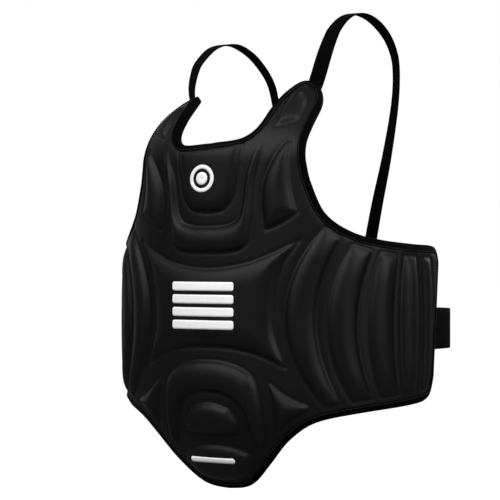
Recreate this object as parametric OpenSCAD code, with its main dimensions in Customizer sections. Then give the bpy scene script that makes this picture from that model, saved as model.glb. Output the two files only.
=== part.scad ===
// Chest protector: a wrap-around foam shell with raised pads, two elastic shoulder
// straps and a waist belt that closes on a ring.
// +Z is up, the chest faces -Y and the wearer's left is +X. Millimetres throughout.
// A place on the shell is [s, z, n]: s runs round the torso from the centre line,
// z is the height, and n stands out from the shell's inner face.

/* [Torso] */
// Half of the girth that the shell bends round
half_girth = 574; // [550:1:600]
// How much flatter the front is than a round torso
flatness = 0.43; // [0.3:0.01:0.5]
// How far the lower tip tucks back
tuck = 44; // [30:1:50]
// Height below which the tip tucks back
tuck_z = 133; // [120:1:145]
// How far the shoulder tabs lean back
lean = 90; // [80:1:110]
// How much further they lean 100 mm out from the centre line
shoulder_wrap = 42; // [20:1:50]
// How much lower the right shoulder tab hangs than the left
shoulder_drop = 16; // [0:1:24]
// Height above which the chest leans back
lean_z = 402; // [390:1:410]
// Distance from the front of the chest back to the torso's centre
torso_depth = 150; // [130:1:170]

/* [Shell layers] */
// Thickness of the lining
lining_t = 1.5; // [1:0.1:2]
// Thickness of the foam core
core_t = 7; // [5:0.5:9]
// Thickness of the outer cover
cover_t = 1; // [0.8:0.1:1.2]
// Clear gap between one layer and the next
layer_gap = 0.3; // [0.2:0.05:0.4]
// Clear gap between the cover and a pad's back
pad_gap = 0.7; // [0.6:0.1:0.9]
// Height of a raised pad
pad_rise = 6.7; // [5:0.1:9]
// Height of a raised pad at its rim
pad_rim = 1.5; // [1:0.1:2]

/* [Binding] */
// Width of the binding tape on each face
tape_w = 8; // [7:0.5:9]
// Thickness of the binding tape
tape_t = 1.1; // [0.8:0.1:1.3]
// Clear gap inside the folded tape
tape_gap = 1.1; // [0.9:0.1:1.3]

/* [Straps] */
// Width of a shoulder strap
strap_w = 19; // [16:1:22]
// Thickness of a strap and of the belt
band_t = 2; // [1.5:0.1:2.2]
// Rise of the left strap's arch above its tab
left_strap_rise = 95; // [70:1:110]
// Rise of the right strap's arch above its tab
right_strap_rise = 85; // [60:1:100]

/* [Belt] */
// Height of the belt
belt_h = 50; // [40:1:55]
// Height of the belt's centre line
belt_z = 196; // [185:1:205]
// Radius of the ring's rod
ring_r = 2.2; // [1.8:0.1:2.6]
// Distance between the ring's two upright bars
ring_span = 18; // [16:1:22]
// Thickness of each hook and loop patch
patch_t = 1; // [0.8:0.1:1.2]

/* [Hidden] */

cover_colour = [0.10, 0.10, 0.11];
pad_colour = [0.15, 0.15, 0.16];
tape_colour = [0.03, 0.03, 0.03];
foam_colour = [0.25, 0.25, 0.27];
lining_colour = [0.07, 0.07, 0.08];
print_colour = [0.93, 0.93, 0.92];
band_colour = [0.05, 0.05, 0.05];
ring_colour = [0.08, 0.08, 0.08];

// Levels of the layers above the shell's inner face
core_n = lining_t + layer_gap;
cover_n = core_n + core_t + layer_gap;
cover_top_n = cover_n + cover_t;
pad_n = cover_top_n + pad_gap;
pad_top_n = pad_n + pad_rise;
print_gap = 0.15;
print_t = 0.3;
print_n = pad_top_n + print_gap;
tape_under_n = -tape_gap - tape_t;
band_n = tape_under_n - layer_gap - band_t / 2;
tab_z = 510;

// Plan of the torso: x and y against the distance s round it
plan_step = 4;
function turn(s) = 180 * s / half_girth - flatness * 90 / PI * sin(360 * s / half_girth);
plan = [
    for (
        i = 0, x = 0, y = 0;
        i * plan_step <= half_girth;
        x = x + plan_step * cos(turn((i + 0.5) * plan_step)),
        y = y + plan_step * sin(turn((i + 0.5) * plan_step)),
        i = i + 1
    ) [i * plan_step, x, y]
];
plan_x = [for (p = plan) [p[0], p[1]]];
plan_y = [for (p = plan) [p[0], p[2]]];

// How far the shell lies behind the plan, and how steeply: upward and round the torso
function below_tuck(z) = max(0, 1 - z / tuck_z);
function above_lean(z) = max(0, (z - lean_z) / (tab_z - lean_z));
function lean_at(s) = lean + shoulder_wrap * pow(s / 100, 2);
function setback(s, z) = tuck * pow(below_tuck(z), 2) + lean_at(s) * pow(above_lean(z), 2);
function slope_up(s, z) =
    2 * lean_at(s) * above_lean(z) / (tab_z - lean_z) - 2 * tuck * below_tuck(z) / tuck_z;
function slope_round(s, z) = 2 * shoulder_wrap * s / pow(100, 2) * pow(above_lean(z), 2);

// Height on the plan of a place on the shell: the right shoulder hangs lower, which starts
// beside the centre line and above the armhole's foot
drop_from_s = 15;
drop_over_s = 90;
drop_from_z = 335;
drop_full_z = 500;
function eased(t) = let (f = min(1, max(0, t))) f * f * (3 - 2 * f);
function sunk(s, z) =
    z - shoulder_drop * eased((drop_from_s - s) / drop_over_s)
    * max(0, (z - drop_from_z) / (drop_full_z - drop_from_z));

function unit(v) = v / norm(v);
function outward(s, h) =
    unit([sin(turn(s)) + slope_round(s, h), -cos(turn(s)), cos(turn(s)) * slope_up(s, h)]);
function on_plan(s, h) = [
    sign(s) * lookup(abs(s), plan_x),
    lookup(abs(s), plan_y) + setback(s, h) - torso_depth,
    h
];
function on_shell(s, z, n) = let (h = sunk(s, z)) on_plan(s, h) + n * outward(s, h);

// Smooth curve through points, at t from 0 to 1, and sampled with m steps a stretch
function blend4(a, b, c, d, f) =
    b + 0.5 * f * (c - a + f * (2 * a - 5 * b + 4 * c - d + f * (3 * (b - c) + d - a)));
function along(p, t) =
    let (
        last = len(p) - 1,
        i = min(floor(t * last), last - 1)
    )
    blend4(p[max(i - 1, 0)], p[i], p[i + 1], p[min(i + 2, last)], t * last - i);
function smooth(p, m) =
    let (steps = (len(p) - 1) * m)
    [for (k = [0:steps]) along(p, k / steps)];
function reversed(p) = [for (i = [len(p) - 1:-1:0]) p[i]];
function mirrored(p) = [for (q = reversed(p)) [-q[0], q[1]]];
// A left-hand edge that starts on the centre line, carried over to both sides
function both_sides(p) = concat(mirrored(p), [for (i = [1:len(p) - 1]) p[i]]);

// Upper edge of the left half: neck, shoulder tab, armhole, wing
top_points = [
    [0, 423.5], [36, 426.5], [53, 434.5], [60.5, 447], [62.5, 468], [64.3, 486], [70, 499.5],
    [84, 495.5], [99, 485.5], [112, 469.5], [118.5, 446], [121, 420], [124.2, 397], [130, 374],
    [147, 338], [178, 316], [215, 306], [262, 301], [300, 299], [314, 293], [320, 280]
];
// Lower edge of the left half: rounded tip, hip, wing
hem_points = [
    [0, 4], [24, 6.5], [43, 15], [69, 38], [100, 68], [135, 89], [190, 100], [262, 108],
    [282, 112], [295, 120], [304, 138]
];
wing_tip_s = 320;
// The wing's end leans forward towards the hem by this much
tip_rake = wing_tip_s - 304;
rake_start = 180;
top_line = smooth(top_points, 2);
hem_line = smooth(hem_points, 4);
function raked(s) = s - tip_rake * pow(max(0, (s - rake_start) / (wing_tip_s - rake_start)), 2);
function column_foot(s) = [raked(s), lookup(raked(s), hem_line)];
feet = [for (p = top_line) column_foot(p[0])];
// Heights of the shell's stations as shares of a column, close where the shell bends
rows = [0, 0.06, 0.13, 0.22, 0.36, 0.79, 0.85, 0.89, 0.93, 0.965, 1];

// Closed solid between two grids of points, outer[i][j] over inner[i][j]
module slab(outer, inner) {
    ni = len(outer);
    nj = len(outer[0]);
    far = ni * nj;
    function at(i, j) = i * nj + j;
    points = [for (grid = [outer, inner]) for (line = grid) for (p = line) p];
    faces = [
        for (i = [0:ni - 2]) for (j = [0:nj - 2]) each [
            [at(i, j), at(i, j + 1), at(i + 1, j + 1)],
            [at(i, j), at(i + 1, j + 1), at(i + 1, j)],
            [far + at(i, j), far + at(i + 1, j + 1), far + at(i, j + 1)],
            [far + at(i, j), far + at(i + 1, j), far + at(i + 1, j + 1)]
        ],
        for (i = [0:ni - 2]) each [
            [at(i, 0), at(i + 1, 0), far + at(i + 1, 0)],
            [at(i, 0), far + at(i + 1, 0), far + at(i, 0)],
            [at(i + 1, nj - 1), at(i, nj - 1), far + at(i, nj - 1)],
            [at(i + 1, nj - 1), far + at(i, nj - 1), far + at(i + 1, nj - 1)]
        ],
        for (j = [0:nj - 2]) each [
            [at(0, j + 1), at(0, j), far + at(0, j)],
            [at(0, j + 1), far + at(0, j), far + at(0, j + 1)],
            [at(ni - 1, j), at(ni - 1, j + 1), far + at(ni - 1, j + 1)],
            [at(ni - 1, j), far + at(ni - 1, j + 1), far + at(ni - 1, j)]
        ]
    ];
    polyhedron(points, faces);
}

// One layer of the whole shell between two levels
module shell_layer(n_low, n_high) {
    tops = both_sides(top_line);
    bottoms = both_sides(feet);
    grid = [
        for (i = [0:len(tops) - 1]) [
            for (f = rows) bottoms[i] + f * (tops[i] - bottoms[i])
        ]
    ];
    slab(
        [for (line = grid) [for (p = line) on_shell(p[0], p[1], n_high)]],
        [for (line = grid) [for (p = line) on_shell(p[0], p[1], n_low)]]
    );
}

// Four-sided patch: sides are [bottom, top, left, right], each a list of [s, z]
function patch(sides, u, v) =
    (1 - v) * along(sides[0], u) + v * along(sides[1], u)
    + (1 - u) * along(sides[2], v) + u * along(sides[3], v)
    - (1 - u) * (1 - v) * along(sides[0], 0) - u * (1 - v) * along(sides[0], 1)
    - (1 - u) * v * along(sides[1], 0) - u * v * along(sides[1], 1);

// Rounded shoulder of a pad, 0 at its rim and 1 on its flat top
crown_share = 0.25;
function crown(t) =
    let (k = min(1, min(t, 1 - t) / crown_share))
    sqrt(1 - (1 - k) * (1 - k));
across = [0, 0.05, 0.13, 0.25, 0.5, 0.75, 0.87, 0.95, 1];
// Share of a pad's length that its rounded end takes, and how soon that end is full height
end_share = 0.1;
end_fullness = 1.6;

// Raised pad with m steps along its length
module raised_pad(sides, m) {
    middle = [for (i = [1:m - 1]) end_share + (1 - 2 * end_share) * i / m];
    start = [0, 0.4 * end_share, end_share];
    lengthwise = concat(start, middle, [for (u = reversed(start)) 1 - u]);
    spots = [for (u = lengthwise) [for (v = across) patch(sides, u, v)]];
    function rise(i, j) =
        pad_rim
        + (pad_rise - pad_rim) * min(1, end_fullness * crown(lengthwise[i])) * crown(across[j]);
    color(pad_colour) slab(
        [
            for (i = [0:len(spots) - 1]) [
                for (j = [0:len(across) - 1])
                    on_shell(spots[i][j][0], spots[i][j][1], pad_n + rise(i, j))
            ]
        ],
        [for (line = spots) [for (p = line) on_shell(p[0], p[1], pad_n)]]
    );
}

// Sides of a left-hand pad carried over to the right
function turned_over(p) = [for (q = p) [-q[0], q[1]]];
function flipped(sides) =
    [mirrored(sides[0]), mirrored(sides[1]), turned_over(sides[3]), turned_over(sides[2])];

// Sides of the pads on the centre line, then those of the left half
chest_sides = [
    [[-22, 344], [0, 341], [22, 344]],
    [[-44, 412], [0, 413], [44, 412]],
    [[-22, 344], [-34, 358], [-40, 384], [-44, 412]],
    [[22, 344], [34, 358], [40, 384], [44, 412]]
];
bolster_sides = [
    both_sides([[0, 292], [30, 293], [51, 301], [58, 330], [63, 385], [77, 428]]),
    both_sides([[0, 323], [22, 324], [40, 331], [48, 350], [53, 387], [65, 424]]),
    [[-77, 428], [-65, 424]],
    [[77, 428], [65, 424]]
];
star_right = [[101, 153], [88, 190], [86, 215], [89, 247], [98, 280], [118, 307]];
star_sides = [
    both_sides([[0, 177], [38, 175], [72, 167], [101, 153]]),
    both_sides([[0, 272], [50, 278], [88, 292], [118, 307]]),
    [for (p = star_right) [-p[0], p[1]]],
    star_right
];
arch_sides = [
    both_sides([[0, 122], [17, 121], [37, 113], [48, 98], [53, 80], [57, 60]]),
    both_sides([[0, 160], [24, 158], [47, 151], [63, 137], [69, 110], [70, 85], [68, 58]]),
    [[-57, 60], [-68, 58]],
    [[57, 60], [68, 58]]
];
navel_sides = [
    [[-31, 73], [3, 70], [37, 73]],
    [[-22, 103], [3, 109], [28, 103]],
    [[-31, 73], [-32, 88], [-22, 103]],
    [[37, 73], [38, 88], [28, 103]]
];
tongue_sides = [
    [[-48, 38], [-28, 20], [0, 14], [28, 20], [48, 38]],
    [[-48, 50], [-24, 57], [0, 59], [24, 57], [48, 50]],
    [[-48, 38], [-48, 50]],
    [[48, 38], [48, 50]]
];
side_chest_sides = [
    [[78, 320], [98, 329], [115, 341]],
    [[101, 424], [106, 422]],
    [[78, 320], [73, 347], [75, 378], [87, 406], [101, 424]],
    [[115, 341], [109, 368], [107, 396], [106, 422]]
];
shoulder_sides = [
    [[80, 440], [92, 443], [104, 446]],
    [[73, 483], [83, 482], [93, 475]],
    [[80, 440], [76, 463], [73, 483]],
    [[104, 446], [101, 463], [93, 475]]
];
hip_sides = [
    [[87, 77], [104, 90], [127, 103]],
    [[80, 137], [101, 120], [129, 108]],
    [[87, 77], [85, 107], [80, 137]],
    [[127, 103], [129, 108]]
];
// Edges of a wing's ribs: s at their ends and at half height
rib_fronts = [[147, 101], [178, 150], [212, 197], [244, 240], [273, 278]];
rib_backs = [[165, 137], [203, 184], [235, 228], [264, 267], [291, 298]];
rib_margin = 14;
function rib_edge(edge, t) =
    let (
        low = lookup(edge[0], hem_line) + rib_margin,
        high = lookup(edge[0], top_line) - rib_margin
    )
    [edge[0] + (edge[1] - edge[0]) * 4 * t * (1 - t), low + t * (high - low)];
function rib_sides(k) =
    let (
        steps = [0:0.125:1],
        front = [for (t = steps) rib_edge(rib_fronts[k], t)],
        back = [for (t = steps) rib_edge(rib_backs[k], t)]
    )
    [[front[0], back[0]], [front[8], back[8]], front, back];

// Room between the tape and the cover's face, and between its fold and the cover's edge
tape_clear = 0.6;
web_gap = 0.4;
// Folded tape along a line of [s, z] points, with the shell on its left
module binding(line) {
    last = len(line) - 1;
    function spot(i, n) = on_shell(line[i][0], line[i][1], n);
    // Step in [s, z] that leads out of the shell by one millimetre: s and z each move the
    // place by one of the vectors round and up
    function outwards(i) =
        let (
            ahead = unit(spot(min(i + 1, last), core_n) - spot(max(i - 1, 0), core_n)),
            round = on_shell(line[i][0] + 1, line[i][1], core_n) - spot(i, core_n),
            up = on_shell(line[i][0], line[i][1] + 1, core_n) - spot(i, core_n),
            face = cross(round, up),
            aside = cross(ahead, unit(face))
        )
        [aside * cross(up, face), aside * cross(face, round)] / (face * face);
    // Section of the fold: [distance out of the shell, level]
    low = -tape_gap;
    high = cover_top_n + tape_clear;
    web = web_gap;
    section = [
        [-tape_w, high], [-tape_w, high + tape_t], [web, high + tape_t],
        [web + tape_t, high], [web + tape_t, low], [web, low - tape_t],
        [-tape_w, low - tape_t], [-tape_w, low], [web, low], [web, high]
    ];
    function ring(i) =
        let (step = outwards(i))
        [for (q = section) on_shell(line[i][0] + q[0] * step[0], line[i][1] + q[0] * step[1], q[1])];
    count = len(section);
    points = [for (i = [0:last]) for (p = ring(i)) p];
    sides = [
        for (i = [0:last - 1]) for (k = [0:count - 1])
            let (a = i * count + k, b = i * count + (k + 1) % count)
            each [[b, a, b + count], [b + count, a, a + count]]
    ];
    // The section is an open channel: each of its straight parts closes on its own
    cap = [[0, 1, 2, 9], [2, 3, 9], [3, 4, 8, 9], [4, 5, 8], [5, 6, 7, 8]];
    caps = concat(
        cap,
        [for (f = cap) [for (k = reversed(f)) last * count + k]]
    );
    color(tape_colour) polyhedron(points, concat(sides, caps));
}

// Stretches of the edge that each tape covers: the wing's tape starts and ends part of the
// way round the corners, clear of the other two
tape_join = 3;
corner_share = 0.6;
function partway(p, i) = p[i] + corner_share * (p[i + 1] - p[i]);
top_count = len(top_line) - 1;
top_run = both_sides([for (i = [0:top_count - tape_join]) top_line[i]]);
hem_run = both_sides([for (i = [0:top_count - tape_join]) feet[i]]);
wing_run = concat(
    [partway(feet, top_count - 2), feet[top_count - 1], feet[top_count]],
    [for (t = [0.15:0.14:0.86]) feet[top_count] + t * (top_line[top_count] - feet[top_count])],
    [top_line[top_count], top_line[top_count - 1], partway(top_line, top_count - 2)]
);

// Thin printed mark inside sides given on the shell. The prints sit a little to the right.
print_shift = -4;
module printed(sides, m) {
    steps = [for (i = [0:m]) i / m];
    spots = [for (u = steps) [for (v = steps) patch(sides, u, v) + [print_shift, 0]]];
    color(print_colour) slab(
        [for (line = spots) [for (p = line) on_shell(p[0], p[1], print_n + print_t)]],
        [for (line = spots) [for (p = line) on_shell(p[0], p[1], print_n)]]
    );
}
function box_sides(s, low, high) = [
    [[-s, low], [s, low]], [[-s, high], [s, high]], [[-s, low], [-s, high]], [[s, low], [s, high]]
];
function arc_side(r, z, from, to) =
    [for (i = [0:6]) let (a = from + (to - from) * i / 6) [r * cos(a), z + r * sin(a)]];
emblem_r = 17;
emblem_z = 383;
centre_w = 88;
centre_low = 198;
centre_high = 256;
tongue_print_w = 64;
tongue_low = 40;
tongue_high = 46;
emblem_sides = [
    arc_side(emblem_r, emblem_z, 225, 315), arc_side(emblem_r, emblem_z, 135, 45),
    arc_side(emblem_r, emblem_z, 225, 135), arc_side(emblem_r, emblem_z, -45, 45)
];

// Flat band along a route of [x, y, z, twist], its width level and turned by the twist
module band(route, width, thickness) {
    last = len(route) - 1;
    function spot(i) = [route[i][0], route[i][1], route[i][2]];
    function ahead(i) = unit(spot(min(i + 1, last)) - spot(max(i - 1, 0)));
    function wide(i) = [cos(route[i][3]), sin(route[i][3]), 0];
    function aside(i) = unit(wide(i) - (wide(i) * ahead(i)) * ahead(i));
    function thick(i) = cross(ahead(i), aside(i));
    function line(i, level) = [
        for (side = [-0.5, 0.5])
            spot(i) + side * width * aside(i) + level * thickness * thick(i)
    ];
    slab([for (i = [0:last]) line(i, 0.5)], [for (i = [0:last]) line(i, -0.5)]);
}

// Where each strap is sewn to its tab: [place round the torso, height at which it leaves]
left_seat = [80, 502];
right_seat = [-92, 498];
// Route of each strap's arch from its tab to the bend behind the shoulder, drawn on the left
// side: [x, y, share of the rise, twist]. The right tab is lower, so its arch differs.
left_over = [
    [88.5, 112.5, 0.35, 27], [91, 126, 0.66, 14], [94, 149, 0.9, 4], [96, 175, 1, -2],
    [98, 204, 0.98, -8], [100, 232, 0.85, -18], [101, 255, 0.64, -28], [99, 271, 0.35, -32]
];
right_over = [
    [95.5, 84, 0.22, 30], [95, 93, 0.52, 22], [94, 107, 0.72, 14], [93.5, 134, 0.92, 9],
    [95.5, 174, 1, 9], [98, 207, 0.95, 14], [98, 238, 0.79, 20], [95.5, 266, 0.48, 25]
];
// Then down the back to the belt: [x, y, z]
strap_down = [
    [93, 278, 485], [78, 282, 416], [60, 288, 356], [44, 295, 300], [31, 302, 250],
    [26, 304.5, 230]
];
// Twist of each strap at those points
left_down_twist = [-30, -20, -10, -4, 0, 0];
right_down_twist = [25, 18, 10, 4, 0, 0];
function strap_route(seat, over, down_twist, rise) =
    let (
        start = on_shell(seat[0], seat[1], band_n),
        face = outward(seat[0], sunk(seat[0], seat[1]))
    )
    concat(
        [[abs(start[0]), start[1], start[2], atan2(abs(face[0]), -face[1])]],
        [for (p = over) [p[0], p[1] - torso_depth, start[2] + p[2] * rise, p[3]]],
        [
            for (i = [0:len(strap_down) - 1])
                let (p = strap_down[i])
                [p[0], p[1] - torso_depth, p[2], down_twist[i]]
        ]
    );
module strap(seat, over, down_twist, rise) {
    route = strap_route(seat, over, down_twist, rise);
    color(band_colour) band(smooth(route, 3), strap_w, band_t);
}
module left_strap() strap(left_seat, left_over, left_down_twist, left_strap_rise);
module right_strap()
    mirror([1, 0, 0]) strap(right_seat, right_over, right_down_twist, right_strap_rise);
// Sewn end of a strap on the inner face of its tab
front_end_depths = [46, 35, 24, 13, 4];
module strap_front_end(seat) {
    function face(n) = [
        for (share = [-0.5, 0, 0.5]) [
            for (d = front_end_depths) on_shell(seat[0] + share * strap_w, seat[1] - d, n)
        ]
    ];
    color(band_colour) slab(face(band_n + band_t / 2), face(band_n - band_t / 2));
}

// Plan of the belt's middle layer, from the left wing's end round to the back
belt_points =
    [[199, 188], [198.5, 215], [192, 248], [165, 280], [108, 296.5], [50, 301], [0, 302]];
belt_plan = smooth([for (p = belt_points) [p[0], p[1] - torso_depth]], 4);
// Plan of a band sewn inside the wing, at the given places round the torso
function sewn_plan(places, n) = [
    for (s = places) let (p = on_shell(s, belt_z, n)) [p[0], p[1]]
];
// Plan line moved to its right by a distance
function shifted(p, d) = [
    for (i = [0:len(p) - 1])
        let (ahead = unit(p[min(i + 1, len(p) - 1)] - p[max(i - 1, 0)]))
        p[i] + d * [ahead[1], -ahead[0]]
];
// Upright band along a plan line
module upright(line, height, thickness) {
    function face(d) = [
        for (q = shifted(line, d)) [for (h = [-0.5, 0.5]) [q[0], q[1], belt_z + h * height]]
    ];
    slab(face(thickness / 2), face(-thickness / 2));
}

// The ring stands behind the right wing; plans here are drawn on the left side
ring_front = [199, 205 - torso_depth];
ring_back = ring_front + [0, ring_span];
wrap_r = ring_r + layer_gap + band_t / 2;
// Turn of a band round one bar of the ring
function wrap(centre, from, to) = [
    for (i = [0:8]) let (a = from + (to - from) * i / 8) centre + wrap_r * [cos(a), sin(a)]
];
function mirrored_plan(line) = [for (q = reversed(line)) [-q[0], q[1]]];

// The belt comes to the ring inside, and its end lies back over it outside
run_start = 7;
belt_end_steps = 9;
belt_run = [for (i = [run_start:1:len(belt_plan) - 1]) belt_plan[i]];
belt_tail_s = [262, 276, 290, 304, 316];
centre_clear = 1;
belt_line = concat(
    sewn_plan(belt_tail_s, band_n),
    belt_plan,
    [for (q = mirrored_plan(belt_run)) if (q[0] < -centre_clear) q],
    [for (q = concat([ring_back + [-wrap_r, 5]], wrap(ring_back, 180, 360))) [-q[0], q[1]]]
);
// Distances out from the belt's middle layer
loop_shift = band_t / 2 + layer_gap + patch_t / 2;
hook_shift = loop_shift + patch_t + layer_gap;
end_shift = hook_shift + patch_t / 2 + layer_gap + band_t / 2;
belt_end_gap = 1.2;
patch_h = belt_h - 8;
outer_run = [for (i = [0:belt_end_steps]) belt_run[i]];
patch_run = [for (i = [1:belt_end_steps]) belt_run[i]];

module belt() {
    color(band_colour) upright(belt_line, belt_h, band_t);
}
module belt_end() {
    color(band_colour) mirror([1, 0, 0]) upright(
        concat([ring_back + [wrap_r, belt_end_gap]], shifted(outer_run, end_shift)),
        belt_h, band_t
    );
}
module loop_patch() {
    color(tape_colour) mirror([1, 0, 0]) upright(shifted(patch_run, loop_shift), patch_h, patch_t);
}
module hook_patch() {
    color(tape_colour) mirror([1, 0, 0]) upright(shifted(patch_run, hook_shift), patch_h, patch_t);
}
module belt_ring() {
    half_h = belt_h / 2 + 1.5 + ring_r;
    color(ring_colour) mirror([1, 0, 0]) {
        for (bar = [ring_front, ring_back]) {
            translate([bar[0], bar[1], belt_z - half_h]) cylinder(h = 2 * half_h, r = ring_r, $fn = 48);
            for (side = [-1, 1])
                translate([bar[0], bar[1], belt_z + side * half_h]) sphere(r = ring_r, $fn = 48);
        }
        for (side = [-1, 1])
            translate([ring_front[0], ring_front[1], belt_z + side * half_h])
                rotate([-90, 0, 0]) cylinder(h = ring_span, r = ring_r, $fn = 48);
    }
}
keeper_s = [284, 300, 314];
keeper_h = belt_h - 4;
module ring_keeper() {
    color(band_colour) mirror([1, 0, 0]) upright(
        concat(
            sewn_plan(keeper_s, band_n),
            wrap(ring_front, 0, 180),
            reversed(sewn_plan(keeper_s, band_n - band_t - layer_gap))
        ),
        keeper_h, band_t
    );
}
// Sewn end of a strap on the outer face of the belt
back_end_x = 26;
back_end_low = belt_z - belt_h / 2 + 4;
back_end_high = 222;
module strap_back_end() {
    belt_y = reversed(belt_plan);
    function face(d) = [
        for (share = [0.5, 0, -0.5])
            let (x = back_end_x + share * strap_w)
            [for (z = [back_end_low, back_end_high]) [x, lookup(x, belt_y) + band_t + layer_gap + d, z]]
    ];
    color(band_colour) slab(face(band_t / 2), face(-band_t / 2));
}

module lining() {
    color(lining_colour) shell_layer(0, lining_t);
}
module foam_core() {
    color(foam_colour) shell_layer(core_n, core_n + core_t);
}
module outer_cover() {
    color(cover_colour) shell_layer(cover_n, cover_top_n);
}
module chest_pad() raised_pad(chest_sides, 5);
module chest_bolster() raised_pad(bolster_sides, 18);
module star_pad() raised_pad(star_sides, 6);
module belly_arch() raised_pad(arch_sides, 16);
module navel_pad() raised_pad(navel_sides, 5);
module tongue_pad() raised_pad(tongue_sides, 5);
module left_chest_pad() raised_pad(side_chest_sides, 4);
module left_shoulder_pad() raised_pad(shoulder_sides, 4);
module left_hip_pad() raised_pad(hip_sides, 4);
module left_rib_pad(k) raised_pad(rib_sides(k), 5);
module right_chest_pad() raised_pad(flipped(side_chest_sides), 4);
module right_shoulder_pad() raised_pad(flipped(shoulder_sides), 4);
module right_hip_pad() raised_pad(flipped(hip_sides), 4);
module right_rib_pad(k) raised_pad(flipped(rib_sides(k)), 5);
module top_binding() binding(reversed(top_run));
module hem_binding() binding(hem_run);
module left_wing_binding() binding(wing_run);
module right_wing_binding() mirror([1, 0, 0]) left_wing_binding();
module chest_emblem() printed(emblem_sides, 6);
module centre_print() printed(box_sides(centre_w / 2, centre_low, centre_high), 6);
module tongue_print() printed(box_sides(tongue_print_w / 2, tongue_low, tongue_high), 4);

lining();
foam_core();
outer_cover();
chest_pad();
chest_bolster();
star_pad();
belly_arch();
navel_pad();
tongue_pad();
left_chest_pad();
right_chest_pad();
left_shoulder_pad();
right_shoulder_pad();
left_hip_pad();
right_hip_pad();
left_rib_pad(0);  // left_rib_pad_1
left_rib_pad(1);  // left_rib_pad_2
left_rib_pad(2);  // left_rib_pad_3
left_rib_pad(3);  // left_rib_pad_4
left_rib_pad(4);  // left_rib_pad_5
right_rib_pad(0);  // right_rib_pad_1
right_rib_pad(1);  // right_rib_pad_2
right_rib_pad(2);  // right_rib_pad_3
right_rib_pad(3);  // right_rib_pad_4
right_rib_pad(4);  // right_rib_pad_5
top_binding();
hem_binding();
left_wing_binding();
right_wing_binding();
chest_emblem();
centre_print();
tongue_print();
left_strap();
right_strap();
strap_front_end(left_seat);  // left_strap_front_end
strap_front_end(right_seat);  // right_strap_front_end
strap_back_end();  // left_strap_back_end
mirror([1, 0, 0]) strap_back_end();  // right_strap_back_end
belt();
belt_end();
loop_patch();
hook_patch();
belt_ring();
ring_keeper();
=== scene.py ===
"""Looks of the chest protector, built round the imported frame.

A place on the shell is (s, z, n): s runs round the torso from the centre line, z is the
height and n stands out from the shell's inner face. Lengths are millimetres until a mesh
is made, and x, y and z are those of the frame: +Z up, the chest faces -Y.
"""
import math

import bpy
import numpy as np
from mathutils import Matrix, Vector


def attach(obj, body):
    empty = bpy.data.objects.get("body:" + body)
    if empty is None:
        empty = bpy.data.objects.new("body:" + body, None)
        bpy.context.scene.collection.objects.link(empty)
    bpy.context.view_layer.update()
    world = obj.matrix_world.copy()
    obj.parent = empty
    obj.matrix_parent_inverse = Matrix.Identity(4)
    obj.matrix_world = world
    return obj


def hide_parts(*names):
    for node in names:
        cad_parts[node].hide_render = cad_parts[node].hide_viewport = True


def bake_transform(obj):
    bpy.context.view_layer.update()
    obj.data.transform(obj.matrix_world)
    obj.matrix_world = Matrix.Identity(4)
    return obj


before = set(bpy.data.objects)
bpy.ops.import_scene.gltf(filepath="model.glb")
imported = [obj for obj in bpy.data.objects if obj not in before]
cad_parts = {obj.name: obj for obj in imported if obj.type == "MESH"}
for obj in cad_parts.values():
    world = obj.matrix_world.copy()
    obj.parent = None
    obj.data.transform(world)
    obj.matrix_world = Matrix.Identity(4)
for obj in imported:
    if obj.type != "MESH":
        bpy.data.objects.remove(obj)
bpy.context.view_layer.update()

MM = 0.001
TAU = 2 * math.pi

# Shape of the shell, as the part's source has it
HALF_GIRTH = 574
FLATNESS = 0.43
TUCK, TUCK_Z = 44, 133
LEAN, LEAN_Z, TAB_Z = 90, 402, 510
SHOULDER_WRAP = 42
SHOULDER_DROP, DROP_FROM_S, DROP_OVER_S = 16, 15, 90
DROP_FROM_Z, DROP_FULL_Z = 335, 500
TORSO_DEPTH = 150
BELT_Z = 196
BELT_H = 50
STRAP_W = 19

# Levels of the layers
LINING_TOP = 1.5
COVER_T = 1.0
GROUND_N = 10.1
PAD_RISE = 7.2
TAPE_T = 1.0
TAPE_W = 8
BAND_T = 1.8
BAND_N = -3.5


# ---------------------------------------------------------------- camera, stage and light

def make_camera():
    """Level long-lens camera, round to the wearer's left."""
    azimuth = math.radians(34.85)
    distance, aside, height = 2797, 46.2, 295
    lens, sensor = 164, 36
    ahead = np.array([-math.sin(azimuth), math.cos(azimuth), 0])
    right = np.array([math.cos(azimuth), math.sin(azimuth), 0])
    place = aside * right - distance * ahead + [0, -TORSO_DEPTH, height]
    data = bpy.data.cameras.new("camera")
    data.lens = lens
    data.sensor_width = sensor
    camera = bpy.data.objects.new("camera", data)
    camera.location = place * MM
    camera.rotation_euler = Vector(ahead).to_track_quat("-Z", "Y").to_euler()
    bpy.context.scene.collection.objects.link(camera)
    bpy.context.scene.camera = camera


# Name: azimuth and elevation in degrees, distance and size in metres, and power in watts
LIGHTS = {
    "key": (74, 30, 2.4, 2.0, 52),
    "front": (-16, 38, 2.8, 2.4, 74),
    "side": (30, 40, 2.8, 1.4, 10),
    "rim": (-112, 22, 2.6, 2.4, 8),
    "top": (20, 82, 2.4, 2.0, 5),
    "back": (170, 30, 2.8, 2.4, 40),
}
# Height that every light faces, in metres
LIT_HEIGHT = 0.28


def softbox(name, azimuth, elevation, distance, size, power):
    """Square area light that faces the middle of the object."""
    data = bpy.data.lights.new(name, "AREA")
    data.size = size
    data.energy = power
    light = bpy.data.objects.new(name, data)
    a, e = math.radians(azimuth), math.radians(elevation)
    out = Vector((math.sin(a) * math.cos(e), -math.cos(a) * math.cos(e), math.sin(e)))
    light.location = Vector((0, 0, LIT_HEIGHT)) + distance * out
    light.rotation_euler = (-out).to_track_quat("-Z", "Y").to_euler()
    bpy.context.scene.collection.objects.link(light)


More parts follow.
